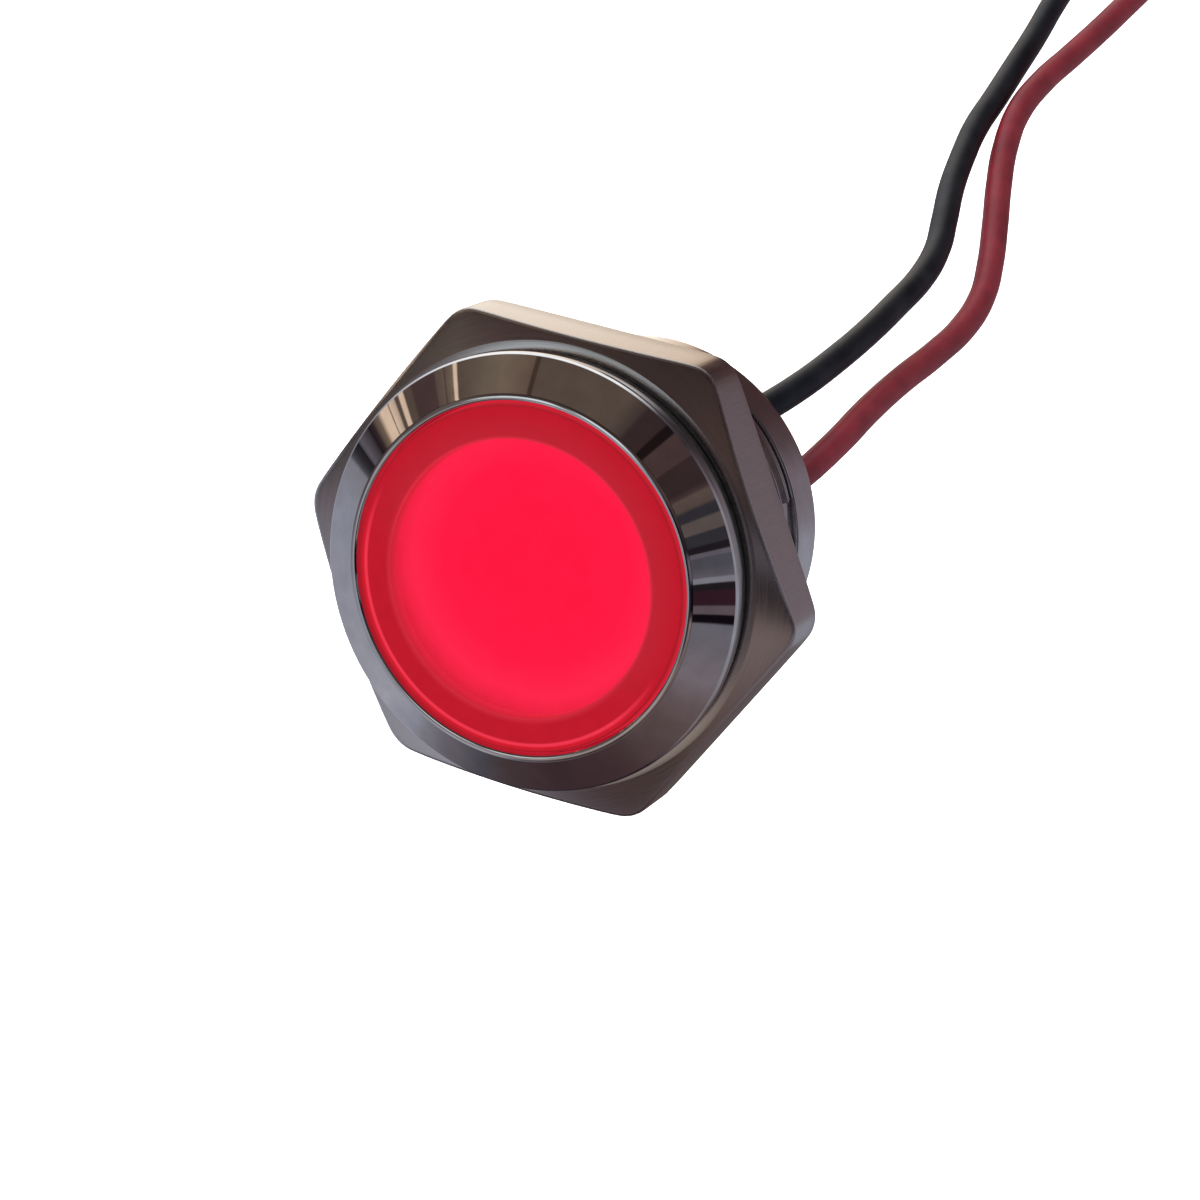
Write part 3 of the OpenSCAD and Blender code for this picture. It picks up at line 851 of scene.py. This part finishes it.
ON_WALLS = [
    (-180, (76, 64, 62)), (-172, (86, 76, 77)), (-166, (124, 124, 133)), (-150, (130, 131, 141)),
    (-140, (130, 130, 140)), (-133, (112, 105, 111)), (-120, (108, 97, 103)), (-110, (80, 66, 68)),
    (-100, (62, 46, 48)), (-90, (58, 43, 43)), (-76, (62, 46, 44)), (-71, (96, 76, 66)),
    (-67, (192, 168, 146)), (-60, (224, 204, 184)), (-55, (246, 236, 222)), (-40, (242, 230, 216)),
    (-34, CREAM), (-20, STEEL), (60, STEEL), (110, COCOA), (150, COCOA), (180, (76, 64, 62)),
]
# The slopes, in degrees from level, between which one zone gives way to the next.
ZONES = [
    (9, 13, ON_CHAMFER), (24.5, 25.5, ON_CREASE), (27, 28, ON_CONE), (39, 44, ON_EDGES),
    (62, 68, ON_WALLS),
]


def tone_ring(room, around, tones):
    """One zone's tones round the compass. A ramp is too coarse for all of them, so they are shared
    out over several."""
    whole = None
    for start in range(0, len(tones) - 1, 12):
        part = tones[start:start + 13]
        first, last = part[0][0], part[-1][0]
        ring = room.ramp(room.part_way(around, math.radians(first), math.radians(last)), [
            ((degrees - first) / (last - first), tuple(c / CHROME_SHARE for c in linear(*tone)[:3]) + (1,))
            for degrees, tone in part
        ])
        past = room.math("GREATER_THAN", around, math.radians(first))
        whole = room.mix(past, whole, ring) if whole else ring
    return whole


def make_room():
    """A dim room with windows, laid out by the slope of polished metal that mirrors each part of it
    towards the front. It shows in reflections only; past the floor the camera sees plain white."""
    world = bpy.data.worlds.new("room")
    bpy.context.scene.world = world
    world.use_nodes = True
    room = Tree(world.node_tree)
    room.nodes.clear()
    direction = room.nodes.new("ShaderNodeTexCoord").outputs["Generated"]
    slope = room.vector_math("NORMALIZE", room.vector_math("ADD", direction, TO_CAMERA))
    x, y, z = room.split(slope)
    around, tilt = room.math("ARCTAN2", y, x), room.math("ARCCOSINE", z)
    colour = tone_ring(room, around, ON_FLATS)
    for low, high, tones in ZONES:
        zone = room.part_way(tilt, math.radians(low), math.radians(high))
        colour = room.mix(zone, colour, tone_ring(room, around, tones))
    reflected = room.nodes.new("ShaderNodeBackground")
    room.link(colour, reflected, "Color")
    seen = room.nodes.new("ShaderNodeBackground")
    seen.inputs["Color"].default_value = (1, 1, 1, 1)
    path = room.nodes.new("ShaderNodeLightPath")
    chosen = room.nodes.new("ShaderNodeMixShader")
    room.link(path.outputs["Is Camera Ray"], chosen, "Fac")
    room.link(reflected.outputs["Background"], chosen, 1)
    room.link(seen.outputs["Background"], chosen, 2)
    room.link(chosen.outputs["Shader"], room.nodes.new("ShaderNodeOutputWorld"), "Surface")


def soft_light(name, place, size, power, colour):
    """A square soft light aimed at the button, which doesn't show in the metal."""
    data = bpy.data.lights.new(name, "AREA")
    data.size = size
    data.energy = power
    data.color = colour
    light = bpy.data.objects.new(name, data)
    bpy.context.scene.collection.objects.link(light)
    light.location = Vector(place)
    light.rotation_mode = "QUATERNION"
    light.rotation_quaternion = (-Vector(place)).to_track_quat("-Z", "Y")
    light.visible_glossy = False


def make_studio():
    """Floor, room and three soft lights, with colours shown as they are."""
    make_floor()
    make_room()
    soft_light("window", (0.7, -0.1, 0.6), 0.6, 9, (1, 0.95, 0.88))
    soft_light("sky", (-0.2, 0.7, 0.7), 0.8, 6, (0.88, 0.93, 1))
    soft_light("overhead", (-0.3, -0.5, 1.1), 1.0, 9, (1, 1, 1))
    bpy.context.scene.view_settings.view_transform = "Standard"


# ---------------------------------------------------------------- building it all

def build():
    """Every piece, with its finish."""
    make_camera()
    tin = plain_metal("tinned_wire", (0.48, 0.47, 0.46, 1), (0.66, 0.65, 0.63, 1))
    steel = plain_metal("spring_steel", (0.42, 0.42, 0.43, 1), (0.58, 0.58, 0.6, 1))
    copper = plain_metal("contact_copper", (0.55, 0.27, 0.14, 1), (0.75, 0.42, 0.24, 1))
    silver = plain_metal("contact_silver", (0.62, 0.62, 0.6, 1), (0.82, 0.82, 0.8, 1), 0.12, 0.25)
    moulding = plastic("black_moulding", (0.012, 0.012, 0.014, 1), (0.03, 0.03, 0.034, 1))
    resin = plastic("cast_resin", (0.01, 0.01, 0.011, 1), (0.028, 0.028, 0.03, 1), 0.12, 0.3)
    soft_black = rubber()

    make_lead("lead_black", BLACK_ROUTE, "black_lead", "black_insulation",
              insulation("black_insulation", (0.003, 0.003, 0.004, 1), (0.010, 0.010, 0.013, 1)),
              make_tip("strands_black", "black_lead_tip", tin))
    make_lead("lead_red", RED_ROUTE, "red_lead", "red_insulation",
              insulation("red_insulation", (0.115, 0.006, 0.011, 1), (0.185, 0.010, 0.018, 1)),
              make_tip("strands_red", "red_lead_tip", tin))

    make_housing(chrome(), satin_chrome())
    make_seal(soft_black)
    make_plug(resin, [BLACK_ROUTE[0], RED_ROUTE[0]])
    make_nut(nut_flats(), nut_faces())
    make_cap(glowing_red(), clear_skin())
    make_spring(steel)

    dress(plastic("milky_diffuser", (0.7, 0.62, 0.62, 1), (0.82, 0.76, 0.76, 1)), "diffuser")
    dress(moulding, "plunger_sleeve", "contact_carrier")
    dress(soft_black, "plunger_seal")
    dress(steel, "retaining_clip")
    dress(copper, "contact_ring", "fixed_contact_left", "fixed_contact_right")
    dress(silver, "contact_rivets", "board_pins")
    dress(tin, "solder_joints")
    dress(plastic("board_mask", (0.01, 0.07, 0.03, 1), (0.02, 0.13, 0.06, 1)), "led_board")
    dress(plastic("led_resin", (0.6, 0.1, 0.08, 1), (0.85, 0.22, 0.18, 1), 0.1, 0.2), "leds")
    dress(plastic("chip_black", (0.01, 0.01, 0.01, 1), (0.03, 0.03, 0.03, 1)), "resistor", "diode")
    dress(plastic("white_cup", (0.78, 0.78, 0.78, 1), (0.9, 0.9, 0.9, 1), 0.15, 0.3), "reflector")
    make_studio()


build()
